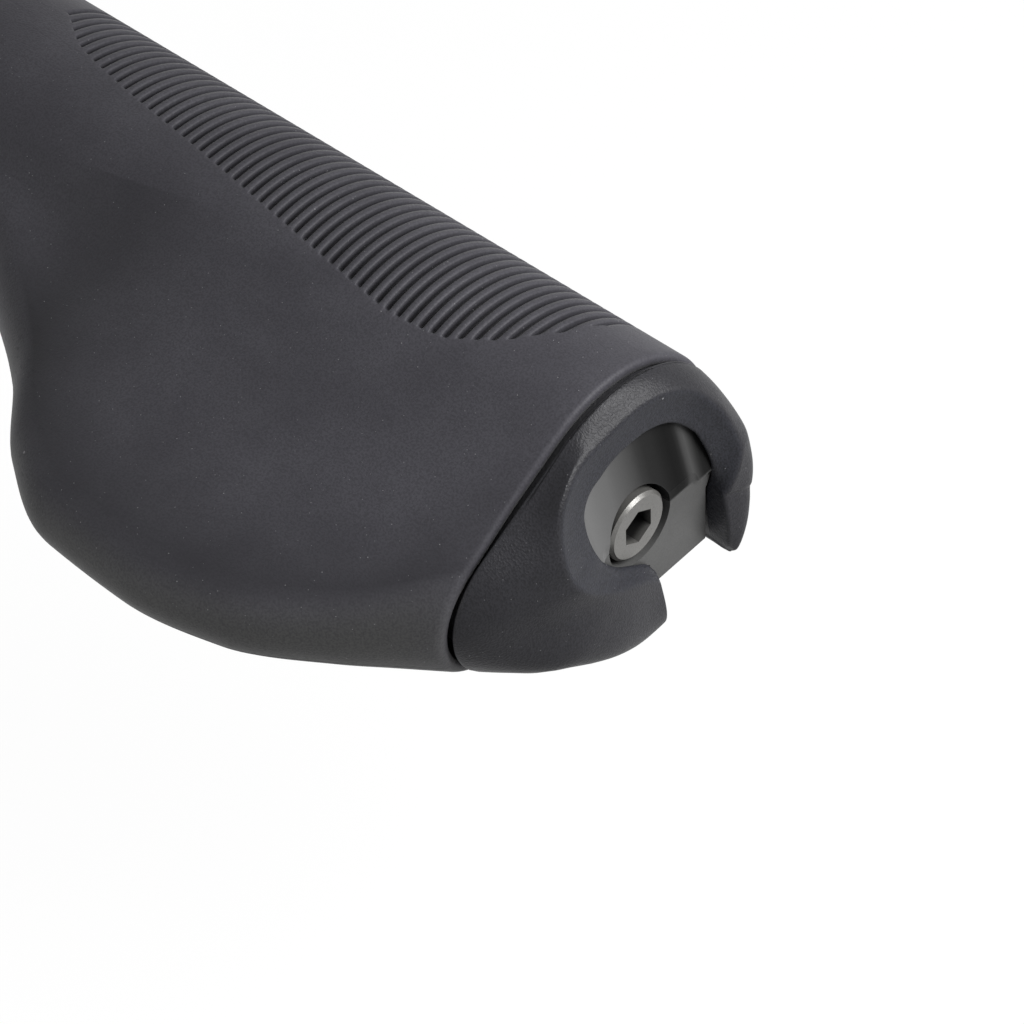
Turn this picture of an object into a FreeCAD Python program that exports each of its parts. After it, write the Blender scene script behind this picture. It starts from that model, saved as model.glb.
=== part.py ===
import FreeCAD, Part
import os
import Sketcher
from math import acos, atan2, cos, pi, sin
from FreeCAD import Placement, Rotation, Vector

# Winged handlebar grip with an expanding clamp.
# +X runs outboard along the handlebar, +Y forward, +Z up, all in millimetres.
# The origin is on the bar's axis at the inboard mouth of the bar bore.

os.makedirs("parts", exist_ok=True)
DOC = FreeCAD.newDocument("bar_end_grip")

SIZES = (
    # the handlebar and the core tube that slides over it
    ("bar_radius", 11.1),
    ("bore_clearance", 0.06),
    ("swell_relief", 0.25),
    ("swell_lead", 1.0),
    ("core_wall", 1.85),
    ("bond_line", 0.15),
    # the rubber sleeve: a nearly round tube and the palm wing behind it
    ("sleeve_length", 122.8),
    ("tube_radius", 16.6),
    ("tube_forward", 1.2),
    ("tube_lift", 0.5),
    ("tube_flat", 2.0),
    ("tube_swell", 0.8),
    ("wing_start", 34.0),
    ("wing_reach", 40.7),
    ("wing_rim", 4.5),
    ("wing_drop", 0.5),
    # the plate inside the wing
    ("plate_thick", 2.4),
    ("plate_margin", 11.0),
    ("plate_start", 70.0),
    ("plate_inset", 8.8),
    # the end flange of the core and the end shell that seats on it
    ("rubber_gap", 0.8),
    ("flange_thick", 3.0),
    ("flange_inset", 1.3),
    ("shell_inset", 0.3),
    ("shell_clearance", 0.35),
    ("dog_length", 2.2),
    ("dog_height", 5.0),
    ("dog_width", 1.6),
    ("dog_clearance", 0.12),
    # the slanted face of the end shell and the round opening in it
    ("face_tilt", 16.7),
    ("face_reach", 7.9),
    ("face_radius", 12.4),
    ("face_forward", 1.4),
    ("face_lift", 2.9),
    ("face_rear_radius", 11.4),
    ("face_rear", 1.4),
    ("face_rear_lift", 3.3),
    ("brow_radius", 30.0),
    ("brow_reach", 8.0),
    ("brow_drop", 3.0),
    ("brow_lean", 15.0),
    ("scoop_margin", 0.3),
    ("scoop_angle", 35.0),
    ("belly_share", 0.68),
    ("belly_radius", 10.2),
    ("belly_rear", 7.7),
    ("belly_drop", 0.6),
    ("open_radius", 8.2),
    ("open_forward", 2.4),
    ("open_lift", 2.8),
    ("open_rear_radius", 8.0),
    ("open_rear", -0.2),
    ("open_rear_lift", 3.2),
    ("bevel_depth", 1.5),
    ("bevel_radius", 12.0),
    ("bevel_angle", 66.0),
    ("bevel_forward", 1.4),
    ("bevel_lift", 3.0),
    ("lip_thick", 1.0),
    ("gap_rear", 1.2),
    ("gap_front", 11.0),
    ("gap_drop", 0.5),
    # the clamp jaws
    ("jaw_clearance", 0.3),
    ("jaw_overlap", 1.7),
    ("floor_reach", 4.6),
    ("floor_fillet", 1.8),
    ("tongue_drop", 10.6),
    ("seam_gap", 0.12),
    ("shank_radius", 8.6),
    ("shank_length", 46.0),
    # the screw, washer, wedge and nut
    ("bolt_radius", 2.5),
    ("bolt_hole", 2.75),
    ("bolt_length", 45.0),
    ("head_radius", 4.25),
    ("head_height", 5.0),
    ("head_proud", 4.4),
    ("hex_flats", 4.0),
    ("hex_depth", 3.0),
    ("seat_radius", 4.9),
    ("washer_radius", 4.7),
    ("washer_thick", 1.0),
    ("seat_clearance", 0.16),
    ("ramp_angle", 6.0),
    ("wedge_length", 16.0),
    ("wedge_width", 10.4),
    ("wedge_height", 11.0),
    ("wedge_travel", 3.2),
    ("wedge_clearance", 0.06),
    ("nut_flats", 8.0),
    ("nut_thick", 4.0),
    ("nut_fit", 0.04),
    ("thread_clearance", 0.05),
    # the rings round the jaw shanks
    ("ring_wire", 0.6),
    ("groove_depth", 1.4),
    ("groove_width", 1.6),
    ("ring_clearance", 0.4),
    ("ring_first", 8.0),
    ("ring_pitch", 12.0),
)

# Stations of the wing between wing_start and the sleeve's outboard end:
# (name, share of that length, share of the wing's reach, share of the tube's roundness)
STATIONS = (
    ("root", 0.0, 0.0, 1.0),
    ("lead", 0.113, 0.09, 0.76),
    ("sweep", 0.214, 0.28, 0.42),
    ("shoulder", 0.315, 0.55, 0.16),
    ("corner", 0.405, 0.81, 0.05),
    ("rim", 0.518, 0.98, 0.0),
    ("crown", 0.653, 1.0, 0.0),
    ("heel", 0.788, 0.905, 0.03),
    ("taper", 0.901, 0.70, 0.11),
    ("tip", 1.0, 0.39, 0.41),
)
# The same two shares for the outline where the core's flange and the end shell meet.
SEAT_SHARES = (0.32, 0.45)


def build_sheet():
    """Put every driving size in the spreadsheet under its own name."""
    sheet = DOC.addObject("Spreadsheet::Sheet", "Sizes")
    for row, (alias, value) in enumerate(SIZES, start=1):
        sheet.set("A%d" % row, alias.replace("_", " "))
        sheet.set("B%d" % row, str(value))
        sheet.setAlias("B%d" % row, alias)
    DOC.recompute()
    return sheet


SHEET = build_sheet()

# Places and sizes that several pieces share, each written once.
CORE_RADIUS = "(Sizes.bar_radius + Sizes.bore_clearance + Sizes.core_wall)"
BORE_RADIUS = "(Sizes.bar_radius + Sizes.bore_clearance)"
SHELL_X = "(Sizes.sleeve_length + Sizes.rubber_gap)"
TUBE_REACH = "(Sizes.tube_radius - Sizes.tube_forward + Sizes.tube_swell)"
ROUND_RADIUS = "(Sizes.tube_radius - Sizes.tube_flat)"
TILT = "Sizes.face_tilt * 1 deg"
FLOOR_X = "(%s + Sizes.floor_reach)" % SHELL_X
HEAD_X = "(%s + Sizes.head_proud)" % SHELL_X
SEAT_X = "(%s - Sizes.head_height - Sizes.washer_thick - Sizes.seat_clearance)" % HEAD_X
SHANK_X = "(%s + Sizes.jaw_clearance)" % SHELL_X
SHANK_END = "(%s - Sizes.shank_length)" % SHANK_X
LIP_X = "(Sizes.face_reach - Sizes.bevel_depth - Sizes.lip_thick)"
JAW_HEAD_X = "(%s - Sizes.shell_clearance)" % LIP_X


def bind(feature, bindings):
    """Tie each property of a feature to its expression."""
    for name, expression in bindings.items():
        feature.setExpression(name, expression)
    return feature


def place(feature, x="0", y="0", z="0"):
    """Tie a feature's position to three expressions."""
    bind(feature, {
        "Placement.Base.x": "(%s) * 1 mm" % x,
        "Placement.Base.y": "(%s) * 1 mm" % y,
        "Placement.Base.z": "(%s) * 1 mm" % z,
    })
    return feature


def rod(name, radius, length, x, y="0", z="0"):
    """A cylinder along the bar's axis, starting at x."""
    feature = DOC.addObject("Part::Cylinder", name)
    feature.Placement = Placement(Vector(), Rotation(Vector(0, 1, 0), 90))
    bind(feature, {"Radius": radius, "Height": length})
    return place(feature, x, y, z)


def block(name, size, corner):
    """A box with its low corner given."""
    feature = DOC.addObject("Part::Box", name)
    bind(feature, dict(zip(("Length", "Width", "Height"), size)))
    return place(feature, *corner)


def tilted_block(name, reach):
    """All the space outboard of the slanted plane that crosses the axis at reach past the shell."""
    feature = DOC.addObject("Part::Box", name)
    feature.Placement = Placement(Vector(), Rotation(Vector(0, -1, 0), 10))
    bind(feature, {
        "Length": "60", "Width": "120", "Height": "120",
        "Placement.Rotation.Angle": TILT,
    })
    return place(feature, "%s + %s + 60 * sin(%s)" % (SHELL_X, reach, TILT), "-60",
                 "-60 * cos(%s)" % TILT)


def slanted_cone(name, radius, angle, reach, depth, middle):
    """A cone square to the slanted plane at reach, with that radius there and smaller inboard.

    angle is the slope of its wall to its own axis, and middle is the axis's y and z in the plane.
    It starts at the depth and runs on 3 mm outboard.
    """
    feature = DOC.addObject("Part::Cone", name)
    feature.Placement = Placement(Vector(), Rotation(Vector(0, 1, 0), 80))
    bind(feature, {
        "Radius1": "%s - %s * tan(%s * 1 deg)" % (radius, depth, angle),
        "Radius2": "%s + 3 * tan(%s * 1 deg)" % (radius, angle),
        "Height": "%s + 3" % depth,
        "Placement.Rotation.Angle": "90 deg - %s" % TILT,
    })
    across, up = middle
    return place(feature,
                 "%s + %s - %s * sin(%s) - %s * cos(%s)" % (SHELL_X, reach, up, TILT, depth, TILT),
                 across, "%s * cos(%s) - %s * sin(%s)" % (up, TILT, depth, TILT))


def cut(name, base, tool):
    feature = DOC.addObject("Part::Cut", name)
    feature.Base = base
    feature.Tool = tool
    return feature


def join(name, pieces):
    feature = DOC.addObject("Part::MultiFuse", name)
    feature.Shapes = pieces
    feature.Refine = True
    return feature


def common(name, pieces):
    feature = DOC.addObject("Part::MultiCommon", name)
    feature.Shapes = pieces
    return feature


def number(expression):
    """The present value of an expression."""
    value = SHEET.evalExpression(expression)
    return float(getattr(value, "Value", value))


def lobe_sketch(name, front, rear, x, tilt="0"):
    """Outline round two circles, a front one and a smaller rear one, joined by two tangent lines.

    front and rear are (radius, y, z) expressions. The sketch faces outboard at x, leaning back by
    tilt degrees. Each circle's arc is parted where it crosses the level of its own centre.
    """
    sketch = DOC.addObject("Sketcher::SketchObject", name)
    r1, y1, z1 = (number(item) for item in front)
    r2, y2, z2 = (number(item) for item in rear)
    one = Vector(y1, z1, 0)
    two = Vector(y2, z2, 0)
    away = two - one
    spread = acos((r1 - r2) / away.Length)
    heading = atan2(away.y, away.x) % (2 * pi)
    high = heading - spread
    low = heading + spread

    def arc(centre, radius, start, end):
        return Part.ArcOfCircle(Part.Circle(centre, Vector(0, 0, 1), radius), start, end)

    def line(start, start_radius, end, end_radius, angle):
        out = Vector(cos(angle), sin(angle), 0)
        return Part.LineSegment(start + out * start_radius, end + out * end_radius)

    sketch.addGeometry([
        arc(one, r1, 0, high),
        line(one, r1, two, r2, high),
        arc(two, r2, high, pi),
        arc(two, r2, pi, low),
        line(two, r2, one, r1, low),
        arc(one, r1, low, 2 * pi),
    ], False)
    sketch.addConstraint([
        Sketcher.Constraint("Tangent", 0, 2, 1, 1),
        Sketcher.Constraint("Tangent", 1, 2, 2, 1),
        Sketcher.Constraint("Coincident", 2, 2, 3, 1),
        Sketcher.Constraint("Coincident", 2, 3, 3, 3),
        Sketcher.Constraint("Horizontal", 2, 2, 2, 3),
        Sketcher.Constraint("Tangent", 3, 2, 4, 1),
        Sketcher.Constraint("Tangent", 4, 2, 5, 1),
        Sketcher.Constraint("Coincident", 5, 2, 0, 1),
        Sketcher.Constraint("Coincident", 5, 3, 0, 3),
        Sketcher.Constraint("Horizontal", 0, 1, 0, 3),
    ])
    for piece, (radius, y, z), centre in ((0, front, one), (2, rear, two)):
        bind_dimension(sketch, Sketcher.Constraint("Radius", piece, number(radius)), radius)
        bind_dimension(sketch, Sketcher.Constraint("DistanceX", -1, 1, piece, 3, centre.x), y)
        bind_dimension(sketch, Sketcher.Constraint("DistanceY", -1, 1, piece, 3, centre.y), z)
    sketch.setExpression(
        "Placement.Rotation",
        "rotation(vector(0; -1; 0); (%s) * 1 deg) * rotation(vector(1; 1; 1); 120 deg)" % tilt)
    return place(sketch, x)


def bind_dimension(sketch, constraint, expression):
    index = sketch.addConstraint(constraint)
    sketch.setExpression("Constraints[%d]" % index, "(%s) * 1 mm" % expression)


def loft(name, sections):
    feature = DOC.addObject("Part::Loft", name)
    feature.Sections = sections
    feature.Solid = True
    feature.Ruled = False
    feature.MaxDegree = 3
    return feature


def prism(name, outline, direction, length):
    """A straight solid from a flat outline."""
    feature = DOC.addObject("Part::Extrusion", name)
    feature.Base = outline
    feature.DirMode = "Custom"
    feature.Dir = direction
    feature.Solid = True
    return bind(feature, {"LengthFwd": "(%s) * 1 mm" % length})


def tube_circle(shrink="0"):
    return ("Sizes.tube_radius - (%s)" % shrink, "Sizes.tube_forward", "Sizes.tube_lift")


def wing_circle(reach_share, round_share, shrink="0"):
    """Rear circle of the sleeve's outline for a share of the wing's reach."""
    radius = "(Sizes.wing_rim + (%s - Sizes.wing_rim) * %s)" % (ROUND_RADIUS, round_share)
    reach = "(%s + (Sizes.wing_reach - %s) * %s)" % (TUBE_REACH, TUBE_REACH, reach_share)
    lift = ("(Sizes.tube_lift - (Sizes.wing_drop + Sizes.tube_lift) * min(1; %s * 2))"
            % reach_share)
    return ("%s - (%s)" % (radius, shrink), "%s - %s" % (radius, reach), lift)


def station_x(share):
    return "(Sizes.wing_start + (Sizes.sleeve_length - Sizes.wing_start) * %s)" % share


def build_sleeve(plate, flange):
    """Rubber sleeve: a straight tube, then the lofted wing, bored for the core and its flange."""
    mouth = lobe_sketch("sleeve_mouth", tube_circle(), wing_circle(0.0, 1.0), "0")
    tube = prism("sleeve_tube", mouth, Vector(1, 0, 0), "Sizes.wing_start")
    sections = [
        lobe_sketch("sleeve_" + name, tube_circle(), wing_circle(reach_share, round_share),
                    station_x(along))
        for name, along, reach_share, round_share in STATIONS
    ]
    wing = loft("sleeve_wing", sections)
    bore = rod("sleeve_bore", CORE_RADIUS + " + Sizes.bond_line", "Sizes.sleeve_length + 20", "-10")
    hollow = join("sleeve_hollow", [bore, plate, flange])
    return cut("rubber_sleeve", join("sleeve_outside", [tube, wing]), hollow)


def plate_block(name, grow):
    """The wing's stiffening plate, a flat box from inside the core's wall to near the rim."""
    reach = "(Sizes.wing_reach - Sizes.plate_margin + (%s))" % grow
    length = "Sizes.sleeve_length - Sizes.plate_start - Sizes.plate_inset"
    size = ("%s + 2 * (%s)" % (length, grow), reach + " - Sizes.bar_radius - 1",
            "Sizes.plate_thick + 2 * (%s)" % grow)
    corner = ("Sizes.plate_start - (%s)" % grow, "-" + reach,
              "-Sizes.wing_drop - Sizes.plate_thick / 2 - (%s)" % grow)
    return block(name, size, corner)


def flange_prism(name, inset, length, x):
    """A prism with the outline of the end shell's seat, moved in from it all round."""
    outline = lobe_sketch(name + "_outline", tube_circle(inset),
                          wing_circle(*SEAT_SHARES, shrink=inset), x)
    return prism(name, outline, Vector(1, 0, 0), length)


def dog_blocks(name, grow):
    """Three dogs that key the shell to the core: two behind the bar and one in front of it."""
    length = "Sizes.dog_length + (%s)" % grow
    wide = "Sizes.dog_width + 2 * (%s)" % grow
    tall = "Sizes.dog_height + 2 * (%s)" % grow
    start = "%s - Sizes.dog_length - (%s)" % (SHELL_X, grow)
    rear_y = "-(Sizes.bar_radius + Sizes.core_wall + 2.4) - (%s)" % grow
    front_y = "Sizes.tube_radius + Sizes.tube_forward - Sizes.flange_inset - 1 - Sizes.dog_width"
    dogs = [
        block(name + "_upper", (length, wide, tall), (start, rear_y, "1.5 - (%s)" % grow)),
        block(name + "_lower", (length, wide, tall),
              (start, rear_y, "-1.5 - Sizes.dog_height - (%s)" % grow)),
        block(name + "_front", (length, wide, tall),
              (start, front_y + " - (%s)" % grow, "-Sizes.dog_height / 2 - (%s)" % grow)),
    ]
    return join(name, dogs)


def build_core():
    """Hard core: the tube over the bar, the wing plate and the end flange with its dog slots."""
    tube = rod("core_tube", CORE_RADIUS, SHELL_X, "0")
    plate = plate_block("core_plate", "0")
    flange = flange_prism("core_flange", "Sizes.flange_inset", "Sizes.flange_thick",
                            "%s - Sizes.flange_thick" % SHELL_X)
    solid = join("core_solid", [tube, plate, flange])
    bore = rod("core_bore", BORE_RADIUS, "Sizes.sleeve_length + 40", "-10")
    relief = rod("core_relief", BORE_RADIUS + " + Sizes.swell_relief", "Sizes.shank_length + 20",
                 "%s - Sizes.swell_lead" % SHANK_END)
    slots = dog_blocks("core_slots", "Sizes.dog_clearance")
    return cut("grip_core", solid, join("core_tools", [bore, relief, slots]))


def build_sleeve_hollows():
    """Room in the rubber for the core's plate and flange, one bond line larger all round."""
    plate = plate_block("sleeve_plate_room", "Sizes.bond_line")
    flange = flange_prism(
        "sleeve_flange_room", "Sizes.flange_inset - Sizes.bond_line", "Sizes.flange_thick + 5",
        "%s - Sizes.flange_thick - Sizes.bond_line" % SHELL_X)
    return plate, flange


def opening_prism(name, grow, start, length):
    """A straight prism along the bar's axis with the opening's outline, grown all round."""
    outline = lobe_sketch(
        name + "_outline",
        ("Sizes.open_radius + (%s)" % grow, "Sizes.open_forward", "Sizes.open_lift"),
        ("Sizes.open_rear_radius + (%s)" % grow, "-Sizes.open_rear", "Sizes.open_rear_lift"),
        start)
    return prism(name, outline, Vector(1, 0, 0), length)


def under_lip(name, grow, start, lip, floor, level):
    """A prism of the grown opening that fills the space under the shell's lip.

    Above the level its top follows the slanted face at lip, and below it its top is flat at floor.
    """
    tall = opening_prism(name + "_tall", grow, start, "30")
    slanted = cut(name + "_slanted", tall, tilted_block(name + "_lip", lip))
    lid = block(name + "_lid", ("60", "80", "60"), (floor, "-40", "%s - 60" % level))
    return cut(name, slanted, lid)


def build_dome():
    """The shell's outside: lofted from its seat to the slanted face, then rounded by the brow."""
    seat = lobe_sketch("shell_seat", tube_circle("Sizes.shell_inset"),
                       wing_circle(*SEAT_SHARES), SHELL_X)
    belly = lobe_sketch(
        "shell_belly",
        ("Sizes.tube_radius - 1.3", "Sizes.tube_forward", "Sizes.tube_lift"),
        ("Sizes.belly_radius", "-Sizes.belly_rear", "-Sizes.belly_drop"),
        "%s + Sizes.face_reach * Sizes.belly_share" % SHELL_X, "Sizes.face_tilt * 0.87")
    face = lobe_sketch(
        "shell_face",
        ("Sizes.face_radius", "Sizes.face_forward", "Sizes.face_lift"),
        ("Sizes.face_rear_radius", "-Sizes.face_rear", "Sizes.face_rear_lift"),
        "%s + Sizes.face_reach" % SHELL_X, "Sizes.face_tilt")
    brow = DOC.addObject("Part::Cylinder", "shell_brow")
    brow.Placement = Placement(Vector(), Rotation(Vector(1, 0, 0), 80))
    bind(brow, {
        "Radius": "Sizes.brow_radius", "Height": "160",
        "Placement.Rotation.Angle": "90 deg - Sizes.brow_lean * 1 deg",
    })
    place(brow, "%s + Sizes.brow_reach - Sizes.brow_radius" % SHELL_X,
          "80 * cos(Sizes.brow_lean * 1 deg)",
          "-Sizes.brow_drop - 80 * sin(Sizes.brow_lean * 1 deg)")
    return common("shell_dome", [loft("shell_loft", [seat, belly, face]), brow])


def build_shell():
    """C-shaped end shell: a dome to a slanted face, a bevel, an opening and a hollow for the jaws."""
    inboard = "Sizes.sleeve_length - 5"
    opening = opening_prism("shell_opening", "0", inboard, "60")
    gap = block("shell_gap", ("60", "Sizes.gap_front - Sizes.gap_rear", "60"),
                (inboard, "Sizes.gap_rear", "-Sizes.gap_drop - 60"))
    grow = "Sizes.jaw_overlap + Sizes.jaw_clearance"
    room = under_lip("shell_room", grow, inboard, LIP_X, "%s + Sizes.jaw_clearance" % FLOOR_X,
                     "-Sizes.jaw_clearance")
    collar = rod("shell_collar", "Sizes.shank_radius + Sizes.jaw_clearance",
                 "%s + Sizes.jaw_clearance - (%s)" % (SHANK_X, inboard), inboard)
    bevel = slanted_cone("shell_bevel", "Sizes.bevel_radius", "Sizes.bevel_angle",
                         "Sizes.face_reach", "Sizes.bevel_depth",
                         ("Sizes.bevel_forward", "Sizes.bevel_lift"))
    scoop = DOC.addObject("Part::Cone", "shell_scoop")
    scoop.Placement = Placement(Vector(), Rotation(Vector(0, 1, 0), 90))
    bind(scoop, {
        "Radius1": "Sizes.seat_radius + Sizes.scoop_margin",
        "Radius2": "Sizes.seat_radius + Sizes.scoop_margin + 12 * tan(Sizes.scoop_angle * 1 deg)",
        "Height": "12",
    })
    place(scoop, "%s + Sizes.jaw_clearance" % FLOOR_X)
    body = build_dome()
    for tool in (room, collar, opening, gap, bevel, scoop):
        body = cut("shell_less_" + tool.Name[6:], body, tool)
    return join("end_shell", [body, dog_blocks("shell_dogs", "0")])


def edges_at(feature, x):
    """The numbers of a solid's edges that lie in the plane across the bar at x."""
    plane = number(x)
    return [index for index, edge in enumerate(feature.Shape.Edges, start=1)
            if abs(edge.BoundBox.XMin - plane) < 0.01 and abs(edge.BoundBox.XMax - plane) < 0.01]


def jaw_head():
    """The clamp's head before it is split: a plate under the shell's lip with a dished floor."""
    plate = under_lip("jaw_plate", "Sizes.jaw_overlap", SHANK_X, JAW_HEAD_X, FLOOR_X, "0")
    tongue = block("jaw_tongue", ("%s - %s" % (FLOOR_X, SHANK_X),
                                  "Sizes.gap_front - Sizes.gap_rear - 2 * Sizes.jaw_clearance",
                                  "Sizes.tongue_drop"),
                   (SHANK_X, "Sizes.gap_rear + Sizes.jaw_clearance", "-Sizes.tongue_drop"))
    dish = opening_prism("jaw_dish", "-Sizes.jaw_clearance", FLOOR_X, "40")
    soft = DOC.addObject("Part::Fillet", "jaw_dish_soft")
    soft.Base = dish
    DOC.recompute()
    radius = number("Sizes.floor_fillet")
    soft.Edges = [(index, radius, radius) for index in edges_at(dish, FLOOR_X)]
    return cut("jaw_head", join("jaw_solid", [plate, tongue]), soft)


def ring_grooves(name, inner, outer, width):
    """Ring-shaped spaces round the shanks, one for each ring."""
    grooves = []
    for index in range(2):
        middle = "%s - Sizes.ring_first - %d * Sizes.ring_pitch" % (SHANK_X, index)
        start = "%s - (%s) / 2" % (middle, width)
        full = rod("%s_full_%d" % (name, index), outer, width, start)
        core = rod("%s_core_%d" % (name, index), inner, "(%s) + 2" % width, start + " - 1")
        grooves.append(cut("%s_%d" % (name, index), full, core))
    return join(name, grooves)


def ramp_block(name, width, height, length, x):
    """A block that tapers above and below at the ramp angle, growing inboard, about the axis.

    height is the full height at x, its inboard end.
    """
    sketch = DOC.addObject("Sketcher::SketchObject", name + "_side")
    sketch.Placement = Placement(Vector(), Rotation(Vector(1, 0, 0), 90))
    long = number(length)
    tall = number(height) / 2
    drop = long * 0.1
    corners = [Vector(0, -tall, 0), Vector(0, tall, 0), Vector(long, tall - drop, 0),
               Vector(long, drop - tall, 0)]
    lines = [Part.LineSegment(corners[i], corners[(i + 1) % 4]) for i in range(4)]
    sketch.addGeometry(lines, False)
    sketch.addConstraint([Sketcher.Constraint("Coincident", i, 2, (i + 1) % 4, 1) for i in range(4)])
    sketch.addConstraint([
        Sketcher.Constraint("Symmetric", 0, 1, 0, 2, -1),
        Sketcher.Constraint("Symmetric", 2, 1, 2, 2, -1),
        Sketcher.Constraint("PointOnObject", 0, 1, -2),
    ])
    bind_dimension(sketch, Sketcher.Constraint("DistanceY", 0, 1, 0, 2, 2 * tall), height)
    bind_dimension(sketch, Sketcher.Constraint("DistanceX", 0, 2, 2, 1, long), length)
    end_height = "(%s) - 2 * (%s) * tan(Sizes.ramp_angle * 1 deg)" % (height, length)
    bind_dimension(sketch, Sketcher.Constraint("DistanceY", 2, 2, 2, 1, number(end_height)),
                   end_height)
    place(sketch, x, "(%s) / 2" % width)
    return prism(name, sketch, Vector(0, -1, 0), width)


WEDGE_X = "(%s - 0.5)" % SHANK_END


def build_jaws():
    """Upper and lower jaws: one clamp body split along the bar's axis."""
    shank = rod("jaw_shank", "Sizes.shank_radius", "Sizes.shank_length", SHANK_END)
    seat = rod("jaw_seat", "Sizes.seat_radius", "60", SEAT_X)
    hole = rod("jaw_hole", "Sizes.bolt_hole", "200", "0")
    # the wedge's slot keeps the wedge's own taper, moved off it by the wedge clearance
    slot = ramp_block(
        "jaw_slot", "Sizes.wedge_width + 2 * Sizes.wedge_clearance",
        "Sizes.wedge_height + 2 * (Sizes.wedge_clearance + 5 * tan(Sizes.ramp_angle * 1 deg))",
        "Sizes.wedge_length + Sizes.wedge_travel + 6", "%s - 5" % WEDGE_X)
    grooves = ring_grooves("jaw_grooves", "Sizes.shank_radius - Sizes.groove_depth",
                           "Sizes.shank_radius + 1", "Sizes.groove_width")
    body = cut("jaw_body", join("jaw_whole", [jaw_head(), shank]),
               join("jaw_tools", [seat, hole, slot, grooves]))
    half = ("200", "80", "60")
    upper = block("jaw_upper_half", half, ("0", "-40", "Sizes.seam_gap / 2"))
    lower = block("jaw_lower_half", half, ("0", "-40", "-Sizes.seam_gap / 2 - 60"))
    return common("upper_jaw", [body, upper]), common("lower_jaw", [body, lower])


def build_bolt():
    """Socket-head screw, its thread as a plain rod."""
    head = rod("bolt_head", "Sizes.head_radius", "Sizes.head_height",
               "%s - Sizes.head_height" % HEAD_X)
    edge = DOC.addObject("Part::Chamfer", "bolt_head_edge")
    edge.Base = head
    DOC.recompute()
    edge.Edges = [(index, 0.35, 0.35) for index in edges_at(head, HEAD_X)]
    shank = rod("bolt_shank", "Sizes.bolt_radius", "Sizes.bolt_length + 0.5",
                "%s - Sizes.head_height - Sizes.bolt_length" % HEAD_X)
    socket = DOC.addObject("Part::Prism", "bolt_socket")
    socket.Placement = Placement(Vector(), Rotation(Vector(0, 1, 0), 90))
    socket.Polygon = 6
    bind(socket, {"Circumradius": "Sizes.hex_flats / sqrt(3)", "Height": "Sizes.hex_depth + 1"})
    place(socket, "%s - Sizes.hex_depth" % HEAD_X)
    return cut("clamp_bolt", join("bolt_solid", [edge, shank]), socket)


def build_washer():
    face = "%s - Sizes.head_height - Sizes.washer_thick - Sizes.seat_clearance / 2" % HEAD_X
    outside = rod("washer_outside", "Sizes.washer_radius", "Sizes.washer_thick", face)
    hole = rod("washer_hole", "Sizes.bolt_hole", "Sizes.washer_thick + 2", face + " - 1")
    return cut("bolt_washer", outside, hole)


def nut_block(name, grow, length):
    """The square nut's outline at the wedge's inboard face."""
    across = "Sizes.nut_flats + 2 * (%s)" % grow
    return block(name, (length, across, across),
                 (WEDGE_X, "-(%s) / 2" % across, "-(%s) / 2" % across))


def build_wedge():
    """Tapered block with a clearance hole for the screw and a pocket for the nut."""
    taper = ramp_block("wedge_taper", "Sizes.wedge_width", "Sizes.wedge_height",
                       "Sizes.wedge_length", WEDGE_X)
    hole = rod("wedge_hole", "Sizes.bolt_hole", "Sizes.wedge_length + 2", "%s - 1" % WEDGE_X)
    pocket = nut_block("wedge_pocket", "Sizes.nut_fit", "Sizes.nut_thick")
    return cut("wedge_block", taper, join("wedge_tools", [hole, pocket]))


def build_nut():
    blank = nut_block("nut_blank", "0", "Sizes.nut_thick - Sizes.nut_fit")
    thread = rod("nut_thread", "Sizes.bolt_radius + Sizes.thread_clearance",
                 "Sizes.nut_thick + 2", "%s - 1" % WEDGE_X)
    return cut("wedge_nut", blank, thread)


def build_rings():
    """Two round-section rings lying in the shanks' grooves."""
    rings = []
    for index in range(2):
        ring = DOC.addObject("Part::Torus", "jaw_ring_%d" % index)
        ring.Placement = Placement(Vector(), Rotation(Vector(0, 1, 0), 90))
        bind(ring, {
            "Radius1": "Sizes.shank_radius - Sizes.groove_depth + Sizes.ring_clearance"
                       " + Sizes.ring_wire",
            "Radius2": "Sizes.ring_wire",
        })
        place(ring, "%s - Sizes.ring_first - %d * Sizes.ring_pitch" % (SHANK_X, index))
        rings.append(ring)
    group = DOC.addObject("Part::Compound", "jaw_rings")
    group.Links = rings
    return group


def check_document():
    """Stop if any object failed to compute."""
    for item in DOC.Objects:
        if "Invalid" in item.State or "Error" in item.State:
            raise RuntimeError("failed: %s %s" % (item.Name, item.State))


def export_nodes(nodes):
    """Write each piece to its own STEP file, named after its label."""
    for node in nodes:
        node.Label = node.Name
        shape = node.Shape
        if shape.isNull() or not shape.isValid() or not shape.Solids:
            raise RuntimeError("bad shape: " + node.Label)
        print("%-14s solids %d  volume %9.2f" % (node.Label, len(shape.Solids), shape.Volume))
        shape.exportStep("parts/%s.step" % node.Label)


def main():
    core = build_core()
    sleeve = build_sleeve(*build_sleeve_hollows())
    shell = build_shell()
    upper, lower = build_jaws()
    nodes = [sleeve, core, shell, upper, lower, build_bolt(), build_washer(), build_wedge(),
             build_nut(), build_rings()]
    DOC.recompute()
    check_document()
    export_nodes(nodes)


main()
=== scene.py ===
"""Winged handlebar grip: the surfaces, finishes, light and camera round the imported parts.

X runs outboard along the bar, Y forward and Z up. Sizes are in millimetres, unless a docstring
says metres, and are turned into metres where a mesh or a shader takes them.
"""
import logging
import math
from dataclasses import dataclass, field
from enum import Enum

import bmesh
import bpy
import numpy as np
from mathutils import Matrix, Vector


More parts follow.
